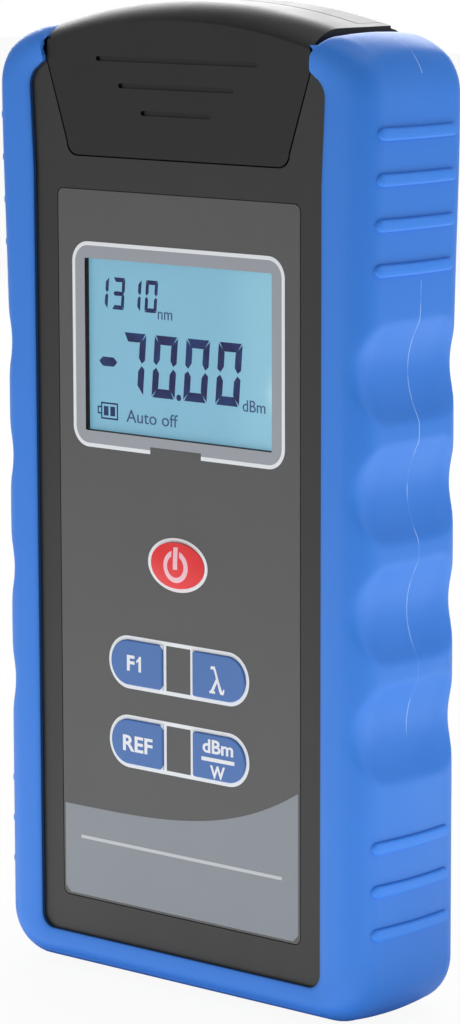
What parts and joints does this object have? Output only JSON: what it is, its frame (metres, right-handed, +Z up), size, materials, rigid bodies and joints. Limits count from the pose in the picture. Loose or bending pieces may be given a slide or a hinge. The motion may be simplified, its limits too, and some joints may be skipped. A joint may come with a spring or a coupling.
{
  "type": "optical power meter",
  "caption": "Handheld optical power meter in a rubber boot, with a display, five keys, a flip-up dust cap over a threaded fibre port and a battery door.",
  "frame": {"origin": "middle of the flat underside, on which the meter stands", "axes": "+Z up along the meter's length, +Y from the face to the back, +X to the right seen from the front"},
  "size_m": [0.0958, 0.0306, 0.1911],
  "materials": {
    "case_plastic": "fine matte moulded plastic",
    "cap_plastic": "fine matte moulded plastic",
    "boot_rubber": "smooth satin rubber",
    "panel_print": "printed polyester film, finely grained",
    "window_clear": "clear polished acrylic",
    "lcd": "backlit liquid crystal display",
    "white_plastic": "white moulded light guide",
    "board_green": "printed circuit board",
    "steel": "plain steel",
    "steel_black": "blackened steel",
    "switch_black": "black moulded plastic",
    "chip_black": "black moulded chip package",
    "nickel": "nickel plated brass",
    "ceramic": "white ceramic",
    "clear_glass": "clear glass",
    "cable_white": "white flat cable",
    "cell_jacket": "plain shrink jacket",
    "key_red": "red moulded key",
    "key_blue": "blue moulded key"
  },
  "bodies": {
    "housing": {"port_tray": "case_plastic", "front_shell": "case_plastic", "rear_shell": "case_plastic", "rubber_boot": "boot_rubber", "panel_overlay": "panel_print", "display_window": "window_clear", "display_glass": "lcd", "light_guide": "white_plastic", "main_board": "board_green", "board_screws": "steel", "key_switches": "switch_black", "board_chips": "chip_black", "port_adapter": "nickel", "ferrule_sleeve": "ceramic", "adapter_screws": "steel", "detector_can": "nickel", "detector_window": "clear_glass", "detector_board": "board_green", "flat_cable": "cable_white", "battery_cells": "cell_jacket", "contact_springs": "nickel", "contact_plates": "nickel", "case_screws": "steel_black", "hinge_pins": "steel"},
    "cap": {"dust_cap": "cap_plastic"},
    "door": {"battery_door": "case_plastic"},
    "power_key_body": {"power_key": "key_red"},
    "f1_key_body": {"f1_key": "key_blue"},
    "wavelength_key_body": {"wavelength_key": "key_blue"},
    "reference_key_body": {"reference_key": "key_blue"},
    "unit_key_body": {"unit_key": "key_blue"}
  },
  "joints": [
    {"name": "cap_hinge", "type": "hinge", "parent": "housing", "child": "cap", "pos_m": [0, 0.0088, 0.182], "axis": [-1, 0, 0], "range_deg": [0, 125]},
    {"name": "door_lift", "type": "slide", "parent": "housing", "child": "door", "axis": [0, 1, 0], "range_m": [0, 0.02]},
    {"name": "power_key_press", "type": "slide", "parent": "housing", "child": "power_key_body", "axis": [0, 1, 0], "range_m": [0, 0.0005], "stiffness_N_per_m": 2000, "springref_m": -0.0003},
    {"name": "f1_key_press", "type": "slide", "parent": "housing", "child": "f1_key_body", "axis": [0, 1, 0], "range_m": [0, 0.0005], "stiffness_N_per_m": 2000, "springref_m": -0.0003},
    {"name": "wavelength_key_press", "type": "slide", "parent": "housing", "child": "wavelength_key_body", "axis": [0, 1, 0], "range_m": [0, 0.0005], "stiffness_N_per_m": 2000, "springref_m": -0.0003},
    {"name": "reference_key_press", "type": "slide", "parent": "housing", "child": "reference_key_body", "axis": [0, 1, 0], "range_m": [0, 0.0005], "stiffness_N_per_m": 2000, "springref_m": -0.0003},
    {"name": "unit_key_press", "type": "slide", "parent": "housing", "child": "unit_key_body", "axis": [0, 1, 0], "range_m": [0, 0.0005], "stiffness_N_per_m": 2000, "springref_m": -0.0003}
  ]
}
